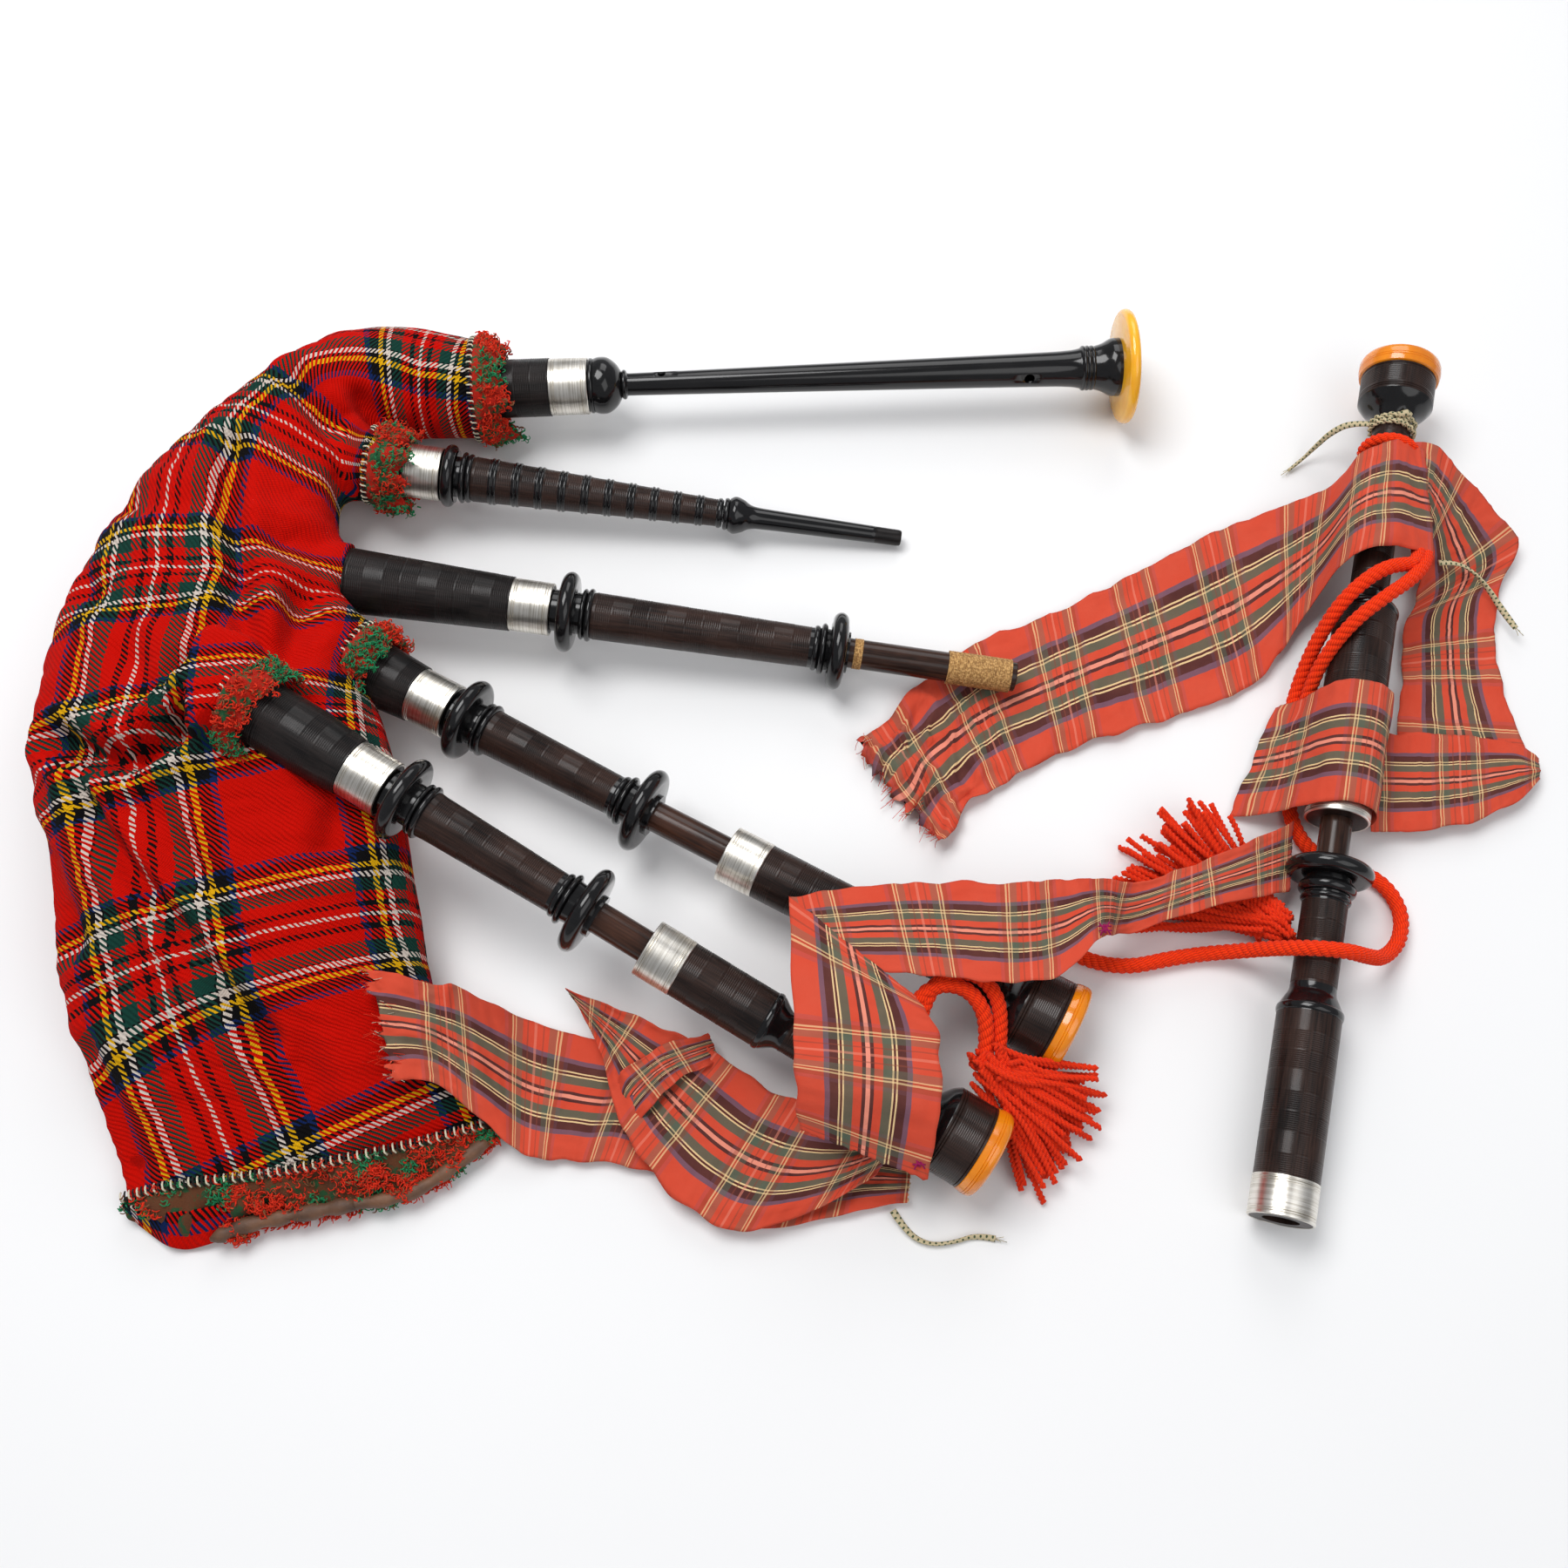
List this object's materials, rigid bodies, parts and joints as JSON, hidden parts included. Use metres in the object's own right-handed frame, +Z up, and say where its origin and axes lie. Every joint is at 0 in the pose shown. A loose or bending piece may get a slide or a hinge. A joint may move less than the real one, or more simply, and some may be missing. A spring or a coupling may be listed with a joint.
{
  "type": "bagpipes",
  "caption": "Highland bagpipes laid flat: covered bag, stocks, chanter, blowpipe and tuning drones, the upper bass drone apart on its ribbons and cord.",
  "frame": {"origin": "on the ground under the middle of the whole set, cords left out", "axes": "+X from the bag towards the drones' bells and the chanter's sole, +Y from the bag's seam side towards its neck, +Z up"},
  "size_m": [0.856, 0.5571, 0.1182],
  "materials": {
    "blackwood": "oiled dark hardwood, turned and combed",
    "black_mount": "polished black",
    "nickel_silver": "engraved nickel silver, worn",
    "amber_resin": "polished amber resin",
    "hemp": "waxed hemp winding",
    "cane": "bare cane",
    "leather": "worn brown hide",
    "cover_cloth": "woven wool in a red check",
    "ribbon_cloth": "thin cotton in a red check",
    "cord_yarn": "twisted red yarn",
    "cotton_tape": "unbleached cotton"
  },
  "bodies": {
    "root": {"bag": "leather", "bag_cover": "cover_cloth", "bag_tab": "leather", "chanter_stock": "blackwood", "chanter_stock_ferrule": "nickel_silver", "blowpipe_stock": "blackwood", "blowpipe_stock_ferrule": "nickel_silver", "bass_stock": "blackwood", "bass_stock_ferrule": "nickel_silver", "tenor_1_stock": "blackwood", "tenor_1_stock_ferrule": "nickel_silver", "tenor_2_stock": "blackwood", "tenor_2_stock_ferrule": "nickel_silver", "bass_middle_joint": "blackwood", "bass_middle_ferrule": "nickel_silver", "bass_middle_mount": "black_mount", "ribbon_tail": "ribbon_cloth", "ribbon_loop": "ribbon_cloth", "ribbon_wrap": "ribbon_cloth", "ribbon_panel": "ribbon_cloth", "ribbon_drape": "ribbon_cloth", "ribbon_strip": "ribbon_cloth", "cord_long": "cord_yarn", "cord_tassel": "cord_yarn", "tape_loose": "cotton_tape", "tape_bell": "cotton_tape", "tassel_1": "cord_yarn", "tassel_2": "cord_yarn"},
    "chanter": {"chanter": "blackwood", "chanter_sole": "amber_resin", "chanter_reed": "cane", "chanter_hemp": "hemp"},
    "blowpipe": {"blowpipe": "blackwood", "blowpipe_mount": "black_mount"},
    "mouthpiece": {"mouthpiece": "black_mount"},
    "valve": {"blowpipe_valve": "leather"},
    "bass_bottom": {"bass_bottom_joint": "blackwood", "bass_bottom_mounts": "black_mount", "bass_hemp": "hemp", "bass_reed": "cane"},
    "tenor_1_bottom": {"tenor_1_bottom_joint": "blackwood", "tenor_1_mounts": "black_mount", "tenor_1_hemp": "hemp", "tenor_1_reed": "cane"},
    "tenor_1_top": {"tenor_1_top_joint": "blackwood", "tenor_1_top_ferrule": "nickel_silver", "tenor_1_bell_ring": "amber_resin"},
    "tenor_2_bottom": {"tenor_2_bottom_joint": "blackwood", "tenor_2_mounts": "black_mount", "tenor_2_hemp": "hemp", "tenor_2_reed": "cane"},
    "tenor_2_top": {"tenor_2_top_joint": "blackwood", "tenor_2_top_ferrule": "nickel_silver", "tenor_2_bell_ring": "amber_resin"},
    "bass_top": {"bass_top_joint": "blackwood", "bass_top_ferrule": "nickel_silver", "bass_bell_ring": "amber_resin", "bass_neck_tie": "cotton_tape", "tape_neck": "cotton_tape"}
  },
  "joints": [
    {"name": "chanter_twist", "type": "hinge", "parent": "root", "child": "chanter", "pos_m": [-0.1353, 0.2264, 0.035], "axis": [0.9991, 0.0429, 0], "continuous": true},
    {"name": "blowpipe_twist", "type": "hinge", "parent": "root", "child": "blowpipe", "pos_m": [-0.2197, 0.1615, 0.037], "axis": [0.9898, -0.0933, -0.1077], "continuous": true},
    {"name": "bass_twist", "type": "hinge", "parent": "root", "child": "bass_bottom", "pos_m": [-0.1495, 0.0711, 0.036], "axis": [0.9897, -0.1257, -0.0683], "continuous": true},
    {"name": "tenor_1_twist", "type": "hinge", "parent": "root", "child": "tenor_1_bottom", "pos_m": [-0.2004, 0.0027, 0.043], "axis": [0.8851, -0.4633, -0.0438], "continuous": true},
    {"name": "tenor_2_twist", "type": "hinge", "parent": "root", "child": "tenor_2_bottom", "pos_m": [-0.2228, -0.0588, 0.08], "axis": [0.8567, -0.495, -0.145], "continuous": true},
    {"name": "tenor_1_tune", "type": "slide", "parent": "tenor_1_bottom", "child": "tenor_1_top", "axis": [0.8851, -0.4633, -0.0438], "range_m": [-0.008, 0.02]},
    {"name": "tenor_2_tune", "type": "slide", "parent": "tenor_2_bottom", "child": "tenor_2_top", "axis": [0.8567, -0.495, -0.145], "range_m": [-0.008, 0.015]},
    {"name": "bass_tune", "type": "slide", "parent": "root", "child": "bass_top", "axis": [0.2392, 0.9703, 0.0366], "range_m": [-0.006, 0.025]},
    {"name": "mouthpiece_slide", "type": "slide", "parent": "blowpipe", "child": "mouthpiece", "axis": [0.9898, -0.0933, -0.1077], "range_m": [0, 0.012]},
    {"name": "valve_flap", "type": "hinge", "parent": "blowpipe", "child": "valve", "pos_m": [-0.24768, 0.16414, 0.04688], "axis": [0.0938, 0.9956, 0], "range_deg": [0, 35]}
  ]
}
